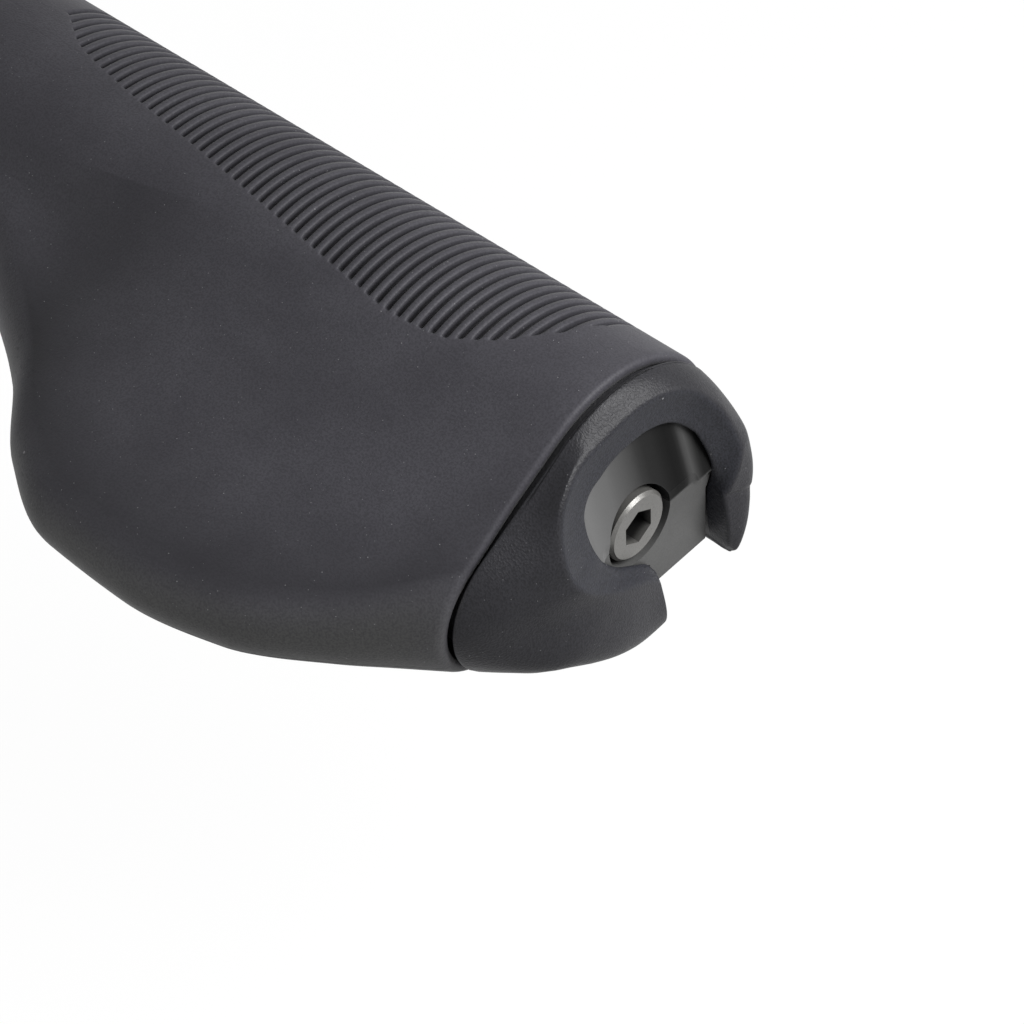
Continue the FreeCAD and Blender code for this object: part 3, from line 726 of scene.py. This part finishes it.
@dataclass
class Sleeve:
    """The rubber sleeve: a slotted tube that grows a palm wing towards the rear.

    reach, edge, drop and hollow are read at x: how far back the wing goes, the radius of its
    edge, the edge's height and how deep the hollow on its top is. A pair of floats is where
    something starts and where it is full: the wing's looks by reach, the seam and the inboard
    shade by x, the swell by how far back it is, and the rim's painted light by the edge's angle.
    Over rim_shade_end the rim's shade runs out instead. front_gap and edge_gap are in radians,
    and the other angles in degrees.
    """

    length: float = 122.8
    tube_radius: float = 16.6
    tube_y: float = 1.2
    tube_z: float = 0.5
    bore: float = 13.16
    bore_middle: float = 60.0
    pocket_wall: float = 1.15
    pocket_depth: float = 3.15
    outboard_round: float = 0.6
    inboard_round: float = 1.5
    x: tuple[float, ...] = (0, 34, 44, 53, 62, 70, 80, 92, 104, 114, 122.8)
    reach: tuple[float, ...] = (16.2, 16.2, 17.7, 22.3, 28.2, 35.8, 40.8, 41.3, 39.0, 33.2, 25.6)
    edge: tuple[float, ...] = (14.6, 14.6, 12.2, 8.7, 6.1, 5.0, 4.5, 4.5, 4.8, 5.6, 8.6)
    drop: tuple[float, ...] = (0.5, 0.5, 0.3, 0.0, -0.3, -0.5, -0.5, -0.5, -0.5, -0.5, -0.3)
    hollow: tuple[float, ...] = (0, 0, 0.25, 0.8, 1.2, 1.3, 1.2, 1.0, 0.8, 0.45, 0.0)
    hollow_curve: float = 1.6
    hollow_below: float = 0.6
    seam_angle: float = 212.0
    seam_height: float = 0.07
    seam_width: float = 0.16
    seam_start: tuple[float, float] = (30.0, 55.0)
    swell: float = 0.4
    swell_rear: tuple[float, float] = (12.0, 22.0)
    swell_start: float = 117.0
    wing_start: tuple[float, float] = (20.0, 30.0)
    rim_start: tuple[float, float] = (100.0, 175.0)
    rim_shade: float = 0.55
    rim_shade_end: tuple[float, float] = (92.0, 142.0)
    rim_shade_width: float = 15.0
    rim_shade_curve: float = 1.3
    inboard_shade: float = 0.4
    inboard_end: tuple[float, float] = (78.0, 52.0)
    slot_shade: float = 0.9
    most_shade: float = 0.95
    round_rows: int = 7
    plain_rows: int = 25
    tail_rows: int = 7
    slot_margin: float = 0.36
    front_columns: tuple[int, ...] = (26, 9, 48, 10, 8)
    front_near: float = 3.0
    front_gap: float = 0.09
    top_columns: int = 28
    top_curve: float = 1.35
    under_columns: int = 14
    edge_columns: tuple[int, int] = (15, 9)
    edge_gap: float = 0.15
    seam_columns: tuple[float, ...] = (-6.0, -3.5, -1.8, 0.0, 1.8, 3.5, 6.0)
    slots: Slots = field(default_factory=Slots)

    def front_arc(self, x: Array, high: Array, low: Array) -> Array:
        """Space the columns round the tube's front arc, close together where the slots end.

        Args:
            x: Places along the bar.
            high: The angle where the arc meets the top, in radians.
            low: The angle where it meets the underside, a whole turn on.

        Returns:
            The columns' angles at each place.
        """
        rear = np.minimum(np.radians(through(*self.slots.rear, x)), high - self.front_gap)
        front = np.radians(through(*self.slots.front, x))
        near = math.radians(self.front_near)
        stops = [low - 2 * np.pi, front - near, front + near, rear - near, rear + near, high]
        parts = [straight(start, end, np.arange(count) / count)
                 for start, end, count in zip(stops[:-1], stops[1:], self.front_columns)]
        return np.concatenate(parts + [high[:, None]], axis=1)

    def edge_arc(self, high: Array, low: Array) -> Array:
        """Space the columns round the wing's edge, close together at the moulding seam.

        Args:
            high: The angle where the arc meets the top, in radians.
            low: The angle where it meets the underside.

        Returns:
            The columns' angles at each place.
        """
        seam = np.full_like(high, math.radians(self.seam_angle))
        before, after = (np.linspace(0, 1, count) for count in self.edge_columns)
        return np.concatenate([straight(high, seam - self.edge_gap, before),
                               seam[:, None] + np.radians(self.seam_columns),
                               straight(seam + self.edge_gap, low, after)], axis=1)

    def top_shares(self) -> Array:
        """Space the columns along the top, closer together towards the tube."""
        return between(self.top_columns) ** self.top_curve

    def section(self, x: Array) -> Section:
        """Stretch a line round two circles at each place: the tube in front, the edge behind.

        Args:
            x: Places along the bar.

        Returns:
            The plain outline there.
        """
        reach, edge, drop = (through(self.x, values, x)
                             for values in (self.reach, self.edge, self.drop))
        front = np.broadcast_to([self.tube_y, self.tube_z], (len(x), 2))
        rear = np.stack([edge - reach, drop], axis=1)
        away = rear - front
        distance = np.linalg.norm(away, axis=1)
        heading = np.arctan2(away[:, 1], away[:, 0]) % (2 * np.pi)
        spread = np.arccos((self.tube_radius - edge) / distance)
        high, low = heading - spread, heading + spread
        turn = self.edge_arc(high, low)
        tube, tube_out = arc(front, np.full(len(x), self.tube_radius),
                             self.front_arc(x, high, low))
        wing, wing_out = arc(rear, edge, turn)
        top = straight(tube[:, -1], wing[:, 0], self.top_shares())
        under = straight(wing[:, -1], tube[:, 0], between(self.under_columns))
        out = [tube_out, np.broadcast_to(wing_out[:, :1], top.shape), wing_out,
               np.broadcast_to(wing_out[:, -1:], under.shape)]
        first, second, third = np.cumsum([tube.shape[1], top.shape[1], wing.shape[1]])
        return Section(x, reach, edge, distance, turn,
                       np.concatenate([tube, top, wing, under], axis=1),
                       np.concatenate(out, axis=1), slice(first, second),
                       slice(second, third), slice(third, None))

    def relief(self, part: Section) -> Array:
        """Work out how deep the hollow lies, and how high the seam stands, at every vertex.

        The hollow is a power of half a sine wave across the wing, and less below. The seam is
        a bell curve across its line.

        Args:
            part: The plain outline.

        Returns:
            The depth, below zero where the surface stands proud.
        """
        depth = np.zeros(part.points.shape[:2])
        dip = through(self.x, self.hollow, part.x)[:, None]
        under = between(self.under_columns)
        depth[:, part.top] = dip * np.sin(np.pi * self.top_shares()) ** self.hollow_curve
        depth[:, part.under] = (self.hollow_below * dip
                                * np.sin(np.pi * under) ** self.hollow_curve)
        off = part.edge[:, None] * (part.turn - math.radians(self.seam_angle)) / self.seam_width
        depth[:, part.rear] = -(self.seam_height * np.exp(-off ** 2)
                                * fade(part.x, *self.seam_start)[:, None])
        return depth

    def shares(self, part: Section, cuts: Array) -> Array:
        """Work out every vertex's share of the rim's painted light and of the painted shade.

        The shade lies in the slots, along the wing's edge and over the wing's inboard end.

        Args:
            part: The plain outline.
            cuts: How deep the slots are.

        Returns:
            Both shares, rows by columns by two.
        """
        winged = fade(part.reach, *self.wing_start)[:, None]
        inboard = self.inboard_shade * fade(part.x, *self.inboard_end)[:, None] * winged
        turned = np.degrees(part.turn)
        # Painted light: the wing's rim and underside are lighter.
        rim = np.zeros_like(cuts)
        rim[:, part.rear] = winged * fade(turned, *self.rim_start)
        rim[:, part.under] = winged
        from_edge = part.distance[:, None] * (1 - self.top_shares()) / self.rim_shade_width
        near_rim = np.maximum(1 - from_edge, 0.0) ** self.rim_shade_curve
        shade = self.slot_shade * cuts / self.slots.depth
        shade[:, part.top] += winged * self.rim_shade * near_rim + inboard
        shade[:, part.rear] += (self.rim_shade * winged + inboard) * (
            1 - fade(turned, *self.rim_shade_end))
        return np.stack([rim, np.clip(shade, 0.0, self.most_shade)], axis=-1)

    def outline(self, x: Array, inset: Array) -> tuple[Array, Array]:
        """Draw in the plain outline along its normals by the slots, the relief and the inset.

        Args:
            x: Places along the bar.
            inset: How far each section is drawn in all round.

        Returns:
            The vertices' x, y and z, rows by columns by three, and their shares.
        """
        part = self.section(x)
        offset = part.points - (self.tube_y, self.tube_z)
        cuts = self.slots.sunk(x, np.degrees(np.arctan2(offset[..., 1], offset[..., 0])))
        depth = cuts + self.relief(part) + inset[:, None]
        drawn = part.points - part.out * depth[..., None]
        along = np.broadcast_to(x[:, None, None], drawn.shape[:2] + (1,))
        return np.concatenate([along, drawn], axis=2), self.shares(part, cuts)

    def rows(self) -> tuple[Array, Array]:
        """List the outside's places along the bar, in order, and how far each is drawn in.

        Both ends are quarter circles.

        Returns:
            The places and the insets.
        """
        turn = np.linspace(0, np.pi / 2, self.round_rows)
        back, inward = 1 - np.sin(turn), 1 - np.cos(turn)
        cuts = self.slots.rows()
        plain = np.linspace(self.inboard_round, cuts[0] - self.slot_margin,
                            self.plain_rows + 1)[1:]
        tail = np.linspace(cuts[-1] + self.slot_margin, self.length - self.outboard_round,
                           self.tail_rows + 1)[:-1]
        flat = np.concatenate([plain, cuts, tail])
        x = np.concatenate([self.inboard_round * back[::-1], flat,
                            self.length - self.outboard_round * back])
        inset = np.concatenate([self.inboard_round * inward[::-1], np.zeros(len(flat)),
                                self.outboard_round * inward])
        return x, inset

    def build(self, material: bpy.types.Material) -> bpy.types.Object:
        """Make the sleeve: the outside, the pocket for the core's flange, the bore and the rim.

        Args:
            material: The rubber.

        Returns:
            The piece.
        """
        outside, shares = self.outline(*self.rows())
        pocket = self.outline(np.array([self.length]), np.array([self.pocket_wall]))[0][0, :, 1:]
        ring, ring_in = (self.bore * unit(loop) for loop in (pocket, outside[0, :, 1:]))
        floor = self.length - self.pocket_depth
        inner = ((self.length, pocket), (floor, pocket), (floor, ring),
                 (self.bore_middle, self.bore * unit(ring + ring_in)), (0.0, ring_in))
        inside = np.stack([np.insert(loop, 0, place, axis=1) for place, loop in inner])
        points = np.concatenate([outside, inside])
        rearward = fade(-points[..., 1], *self.swell_rear)
        points[..., 0] += self.swell * rearward * fade(points[..., 0], self.swell_start,
                                                       self.length)
        shares = np.concatenate([shares, np.zeros(inside.shape[:2] + (2,))])
        piece = grip_piece("sleeve_skin", points, shares, True, material)
        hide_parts("rubber_sleeve")
        return piece


# --------------------------------------------------------------------------------- end shell


@dataclass
class Shell:
    """The C-shaped end shell: a dome that rises from its seat to a crest, a bevel and two horns.

    crest and opening are the two lines that the bevel runs between, from the rear horn over the
    top to the front horn's tip. Each point is x from the screw head's face, y and z. The tables
    are read by the direction from the shell's middle, in degrees from forward towards up: how
    far the seat is moved outboard, how the dome leaves the seat and arrives at the crest, how
    full it is at both, and how far the lip reaches under the bevel. rim_in and rim_out are the
    section's columns between which the bevel's lighter colour starts and ends, partly a finish of
    its own and partly painted light.
    """

    face_x: float = 128.0
    middle: tuple[float, float] = (1.2, 1.5)
    seat_x: float = -4.4
    seat_circles: tuple[Place, Place] = ((16.3, 1.2, 0.5), (9.4, -15.0, -0.45))
    crest: tuple[Place, ...] = (
        (1.9, 1.2, -8.4), (2.1, -0.5, -6.9), (2.5, -2.9, -5.1), (2.9, -6.4, -2.8),
        (3.0, -9.7, -0.2), (2.9, -11.8, 1.9), (2.4, -12.7, 3.6), (1.8, -13.1, 5.8),
        (0.9, -12.7, 7.9), (0.2, -12.0, 9.8), (-0.4, -10.9, 11.5), (-0.95, -9.3, 12.7),
        (-1.45, -7.6, 13.5), (-1.75, -5.6, 14.0), (-1.85, -3.7, 14.2), (-1.8, -0.6, 14.7),
        (-1.7, 2.4, 14.9), (-1.45, 5.3, 14.6), (-1.0, 8.0, 13.6), (-0.35, 10.4, 11.8),
        (0.8, 12.3, 8.9), (1.5, 13.2, 6.7), (2.4, 13.8, 3.6), (2.8, 13.7, 2.0),
        (3.0, 12.6, -0.3), (2.75, 11.5, -2.2), (2.5, 11.1, -2.7), (2.7, 11.1, -4.0),
        (3.0, 11.1, -6.1), (3.1, 11.15, -8.4), (2.95, 11.2, -10.2), (2.4, 11.4, -11.2))
    opening: tuple[Place, ...] = (
        (0.7, 1.7, -7.8), (0.75, 0.55, -6.0), (0.8, -1.6, -4.3), (0.85, -4.1, -2.4),
        (0.85, -6.2, 0.1), (0.75, -7.1, 1.9), (0.4, -7.5, 3.3), (0.0, -7.7, 4.8),
        (-0.4, -7.65, 6.2), (-0.75, -7.4, 7.5), (-1.05, -6.7, 8.5), (-1.25, -5.9, 9.1),
        (-1.35, -5.1, 9.5), (-1.45, -4.0, 9.8), (-1.6, -2.5, 10.3), (-1.7, -0.6, 10.6),
        (-1.7, 1.3, 10.65), (-1.65, 3.6, 10.5), (-1.4, 6.0, 9.8), (-1.1, 7.9, 8.5),
        (-0.4, 9.7, 6.3), (0.0, 10.2, 5.0), (0.4, 10.6, 3.6), (0.7, 11.0, 2.0),
        (0.85, 11.2, 0.5), (0.75, 11.3, -1.2), (0.5, 11.2, -2.2), (0.3, 11.2, -3.6),
        (0.25, 11.2, -5.6), (0.3, 11.2, -7.8), (0.5, 11.25, -9.6), (0.6, 11.4, -10.9))
    spans: int = 6
    seat_moved: Table = ((-65, 180, 205, 295), (0.0, 0.0, 0.2, 0.2))
    leaving: Table = ((-60, 0, 60, 120, 160, 195, 225, 250, 271),
                      (-0.1, 0.0, 0.12, 0.40, 0.60, 0.60, 0.15, -0.05, -0.1))
    arriving: Table = ((-60, -30, 0, 30, 60, 120, 160, 185, 210, 240, 271),
                       (-16, -12, 12, 45, 58, 50, 35, 14, -8, -15, -14))
    full_seat: Table = ((-60, -25, 5, 30, 120, 185, 210, 240, 271),
                        (1.35, 1.2, 0.72, 0.42, 0.40, 0.5, 1.15, 1.4, 1.35))
    full_crest: Table = ((-60, -25, 5, 30, 120, 185, 210, 240, 271),
                         (0.8, 0.7, 0.5, 0.35, 0.35, 0.5, 0.75, 0.75, 0.7))
    lip_reach: Table = ((-60, -25, -10, 235, 262, 271), (0.1, 0.1, 2.0, 2.0, 0.3, 0.3))
    lip: float = 0.3
    lip_round: float = 0.24
    seat_round: float = 0.5
    crest_round: float = 0.5
    crest_most: float = 0.4
    opening_round: float = 0.35
    opening_most: float = 0.3
    bevel_fall: float = 0.12
    bevel_full: float = 5.0
    dome_columns: int = 22
    seat_columns: int = 6
    crest_columns: int = 8
    bevel_columns: int = 6
    opening_columns: int = 6
    rim_in: tuple[float, float] = (27.0, 31.0)
    rim_out: tuple[float, float] = (47.0, 43.0)
    cap_sizes: tuple[float, float] = (0.25, 0.35)
    cap_taper: float = 0.13
    cap_rings: int = 5
    cap_closing: tuple[float, ...] = (0.6, 0.25, 0.0)

    def seat_at(self, turn: Array) -> Array:
        """Find the seat's edge in each direction from the shell's middle.

        The edge is a line stretched round two circles. In a given direction it is as far as the
        nearest of the straight lines that touch it: the reach of each such line is the larger
        of the two circles' reaches.

        Args:
            turn: Directions, in radians.

        Returns:
            The edge's y and z in each direction.
        """
        middle, grazing = np.array(self.middle), 0.05
        lines = np.radians(np.arange(0, 360, 0.5))
        out = np.stack([np.cos(lines), np.sin(lines)], axis=-1)
        reach = np.max([np.dot(out, np.array(centre) - middle) + radius
                        for radius, *centre in self.seat_circles], axis=0)
        facing = np.cos(turn[:, None] - lines[None, :])
        far = np.where(facing > grazing, reach / np.maximum(facing, grazing), np.inf).min(axis=1)
        return middle + far[:, None] * np.stack([np.cos(turn), np.sin(turn)], axis=-1)

    def lines(self) -> tuple[Array, Array, Array, Array]:
        """Work out the seat, crest and opening lines at matching stations round the shell.

        Returns:
            The stations' directions, in degrees from -60 to 300, and the three lines.
        """
        crest, opening = flowing(self.crest, self.spans), flowing(self.opening, self.spans)
        turn = np.arctan2(crest[:, 2] - self.middle[1], crest[:, 1] - self.middle[0])
        heading = (np.degrees(turn) + 60) % 360 - 60
        seat_x = self.seat_x + through(*self.seat_moved, heading)
        seat = np.concatenate([seat_x[:, None], self.seat_at(turn)], axis=1)
        return heading, seat, crest, opening

    def profile(self, heading: Array, seat: Array, crest: Array, opening: Array) -> Array:
        """Work out the closed section at each station: seat, dome, crest, bevel and back below.

        The dome is a cubic curve with four control points, which leaves the seat along the
        wing's own slope and meets the crest at a set slope. The bevel sags by half a sine wave.
        Each corner between two straight runs is a short parabola.

        Args:
            heading: The stations' directions.
            seat: The seat line.
            crest: The crest line.
            opening: The opening line.

        Returns:
            The sections' vertices, stations by profile by three.
        """
        lean, arrive, full_seat, full_crest, reach = (
            through(*table, heading)[:, None] for table in
            (self.leaving, self.arriving, self.full_seat, self.full_crest, self.lip_reach))
        arrive = np.radians(arrive)
        along, across = np.array([1.0, 0.0, 0.0]), np.array([0.0, 1.0, 1.0])
        gap = crest - seat
        inward = unit(gap * across)
        depth = np.linalg.norm(gap * across, axis=1, keepdims=True)
        leave = unit(along + inward * lean)
        meet = inward * np.cos(arrive) + along * np.sin(arrive)
        trimmed = crest - meet * self.crest_round
        first = seat + leave * full_seat * gap[:, :1]
        second = trimmed - meet * full_crest * depth
        t = np.linspace(0, 1, self.dome_columns)[:, None]
        dome = ((1 - t) ** 3 * seat[:, None] + 3 * t * (1 - t) ** 2 * first[:, None]
                + 3 * t * t * (1 - t) * second[:, None] + t ** 3 * trimmed[:, None])
        bevel_way = unit(opening - crest)
        width = np.linalg.norm(opening - crest, axis=1, keepdims=True)
        crest_cut = np.minimum(self.crest_round, self.crest_most * width)
        opening_cut = np.minimum(self.opening_round, self.opening_most * width)
        under = opening - along * self.lip
        over = under + unit((seat - opening) * across) * reach
        back = np.concatenate([seat[:, :1], over[:, 1:]], axis=1)
        crest_turn = corner(trimmed, crest, crest + bevel_way * crest_cut, self.crest_columns)
        opening_turn = corner(opening - bevel_way * opening_cut, opening,
                              opening - along * self.lip_round, self.opening_columns)
        seat_turn = corner(seat - unit(seat - back) * self.seat_round, seat,
                           seat + leave * self.seat_round, self.seat_columns)
        steps = between(self.bevel_columns)
        fall = self.bevel_fall * np.sin(np.pi * steps)[:, None]
        bevel = (straight(crest_turn[:, -1], opening_turn[:, 0], steps)
                 - along * fall * np.minimum(width / self.bevel_full, 1.0)[:, None])
        return np.concatenate([
            seat_turn, dome[:, 2:-1], crest_turn, bevel, opening_turn, under[:, None],
            straight(under, over, between(2)), over[:, None],
            straight(over, back, between(2)), back[:, None],
            straight(back, seat_turn[:, 0], between(3)),
        ], axis=1)

    def cap(self, last: Array, before: Array, size: float) -> Array:
        """Round off a horn: draw in its last section as it moves on, and then to a point.

        Args:
            last: The horn's last section.
            before: The section before it.
            size: How far the cap stands out.

        Returns:
            The cap's sections, from the horn outwards.
        """
        turn = np.linspace(0, np.pi / 2, self.cap_rings + 1)[1:, None, None]
        onward = unit((last - before).mean(axis=0))
        middle = last.mean(axis=0)
        share = 1 - self.cap_taper * (1 - np.cos(turn))
        rings = middle + (last - middle) * share + onward * size * np.sin(turn)
        middle = rings[-1].mean(axis=0)
        closing = middle + (rings[-1] - middle) * np.array(self.cap_closing)[:, None, None]
        return np.concatenate([rings, closing])

    def build(self, material: bpy.types.Material) -> bpy.types.Object:
        """Make the shell as sections carried from the rear horn to the front one.

        Args:
            material: The shell's nylon.

        Returns:
            The piece.
        """
        sections = self.profile(*self.lines())
        start = self.cap(sections[0], sections[1], self.cap_sizes[0])[::-1]
        end = self.cap(sections[-1], sections[-2], self.cap_sizes[1])
        points = np.concatenate([start, sections, end]) + np.array([self.face_x, 0, 0])
        columns = np.arange(points.shape[1])
        shares = np.zeros(points.shape[:2] + (2,))
        # The bevel band is lighter: partly its own finish, partly painted light.
        shares[..., 0] = fade(columns, *self.rim_in) * fade(columns, *self.rim_out)
        piece = grip_piece("shell_skin", points, shares, False, material)
        weld(piece)
        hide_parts("end_shell")
        return piece


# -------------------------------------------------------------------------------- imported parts


@dataclass
class PackedParts:
    """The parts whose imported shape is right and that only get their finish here."""

    finishes: tuple[tuple[str, Finish], ...] = (
        ("grip_core", CORE), ("upper_jaw", JAWS), ("lower_jaw", JAWS), ("clamp_bolt", STEEL),
        ("bolt_washer", STEEL), ("wedge_block", WEDGE), ("wedge_nut", STEEL),
        ("jaw_rings", RING))

    def dress(self, made: dict[Finish, bpy.types.Material]) -> list[bpy.types.Object]:
        """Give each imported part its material.

        Args:
            made: The material of each finish.

        Returns:
            The parts.
        """
        for name, finish in self.finishes:
            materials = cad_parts[name].data.materials
            materials.clear()
            materials.append(made[finish])
        return [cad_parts[name] for name, _ in self.finishes]


# --------------------------------------------------------------------------------------- stage


@dataclass(frozen=True)
class Lamp:
    """One square soft lamp: its place, its aim, its side in metres and its power in watts."""

    name: str
    place: Place
    aim: Place
    size: float
    power: float

    def hang(self) -> None:
        """Hang the lamp in its place, facing its aim."""
        data = bpy.data.lights.new(self.name, "AREA")
        data.size = self.size
        data.energy = self.power
        lamp = bpy.data.objects.new(self.name, data)
        way = (Vector(self.aim) - Vector(self.place)) * MM
        lamp.location = Vector(self.place) * MM
        lamp.rotation_mode = "QUATERNION"
        lamp.rotation_quaternion = way.to_track_quat("-Z", "Y")
        bpy.context.scene.collection.objects.link(lamp)


@dataclass
class Studio:
    """The pale floor, the soft lamps and the camera.

    right, down and ahead are the camera's own directions. floor_half, nearest and farthest are
    in metres.
    """

    floor_drop: float = 48.0
    floor_half: float = 3.0
    floor_colour: Colour = (0.86, 0.86, 0.86)
    floor_rough: float = 0.9
    floor_glow: float = 0.97
    world_strength: float = 0.36
    lens: float = 132.916
    sensor: float = 36.0
    nearest: float = 0.02
    farthest: float = 20.0
    camera: Place = (304.25, -200.61, 293.23)
    right: Place = (0.74374986, 0.66751022, -0.03558443)
    down: Place = (0.47392233, -0.56409687, -0.67616)
    ahead: Place = (-0.47141677, 0.48602965, -0.73589497)
    lamps: tuple[Lamp, ...] = (
        Lamp("key_lamp", (272, 90, 170), (112, 0, 4), 0.15, 1.5),
        Lamp("side_lamp", (10, -300, 10), (70, -30, 0), 0.24, 0.40))

    def build(self) -> None:
        """Set up the whole stage."""
        self.place_camera()
        self.lay_floor()
        self.light_world()
        for lamp in self.lamps:
            lamp.hang()
        bpy.context.scene.view_settings.view_transform = "Standard"

    def place_camera(self) -> None:
        """Put the camera in its place, looking down on the outboard end."""
        data = bpy.data.cameras.new("camera")
        data.lens = self.lens
        data.sensor_width = self.sensor
        data.clip_start = self.nearest
        data.clip_end = self.farthest
        camera = bpy.data.objects.new("camera", data)
        bpy.context.scene.collection.objects.link(camera)
        turned = Matrix((Vector(self.right), -Vector(self.down), -Vector(self.ahead))).transposed()
        camera.matrix_world = Matrix.Translation(Vector(self.camera) * MM) @ turned.to_4x4()
        bpy.context.scene.camera = camera

    def white_backdrop(self, nodes: Nodes) -> Socket:
        """Tell what looks straight at a surface, or sees it in metal, from what it lights.

        Args:
            nodes: The nodes of the material or the world.

        Returns:
            1 for what looks or sees, otherwise 0.
        """
        path = nodes.add("ShaderNodeLightPath", {}).outputs
        seen = nodes.math("ADD", path["Is Camera Ray"], path["Is Glossy Ray"])
        return nodes.math("ADD", seen, path["Is Transmission Ray"], clamp=True)

    def lay_floor(self) -> None:
        """Lay a wide pale floor below the grip that looks white and keeps a faint shadow."""
        low, high = CAD_BOX
        middle = (low + high) / 2
        level = low.z - self.floor_drop * MM
        half = self.floor_half
        corners = [(-half, -half), (half, -half), (half, half), (-half, half)]
        mesh = bpy.data.meshes.new("floor")
        mesh.from_pydata([(middle.x + a, middle.y + b, level) for a, b in corners], [],
                         [(0, 1, 2, 3)])
        material = bpy.data.materials.new("floor_paint")
        material.use_nodes = True
        nodes = Nodes(material.node_tree)
        shader = material.node_tree.nodes["Principled BSDF"]
        shader.inputs["Base Color"].default_value = (*self.floor_colour, 1.0)
        shader.inputs["Roughness"].default_value = self.floor_rough
        glow = nodes.add("ShaderNodeEmission", {"Strength": 1.0})
        share = nodes.math("MULTIPLY", self.white_backdrop(nodes), self.floor_glow)
        mix = nodes.add("ShaderNodeMixShader", {0: share, 1: shader.outputs[0],
                                                2: glow.outputs[0]})
        nodes.wire(mix.outputs[0], material.node_tree.nodes["Material Output"].inputs[0])
        mesh.materials.append(material)
        floor = bpy.data.objects.new("floor", mesh)
        bpy.context.scene.collection.objects.link(floor)

    def light_world(self) -> None:
        """Fill the room with soft light from all sides, and white where it is seen."""
        world = bpy.data.worlds.new("studio")
        bpy.context.scene.world = world
        world.use_nodes = True
        nodes = Nodes(world.node_tree)
        back = world.node_tree.nodes["Background"].inputs
        back["Color"].default_value = (1.0, 1.0, 1.0, 1.0)
        strength = nodes.math("MAXIMUM", self.white_backdrop(nodes), self.world_strength)
        nodes.wire(strength, back["Strength"])


def main() -> None:
    """Build the finishes, the pieces and the stage in order, and report each piece."""
    logging.basicConfig(level=logging.INFO, format="%(name)s: %(message)s")
    effects = Effects()
    finishes = (RUBBER, SHELL, CORE, JAWS, STEEL, WEDGE, RING)
    made = {finish: finish.make(effects) for finish in finishes}
    pieces = [Sleeve().build(made[RUBBER]), Shell().build(made[SHELL])]
    pieces += PackedParts().dress(made)
    for piece in pieces:
        LOG.info("%s: %d faces, %s", piece.name, len(piece.data.polygons),
                 piece.data.materials[0].name)
    Studio().build()


if __name__ == "__main__":
    main()
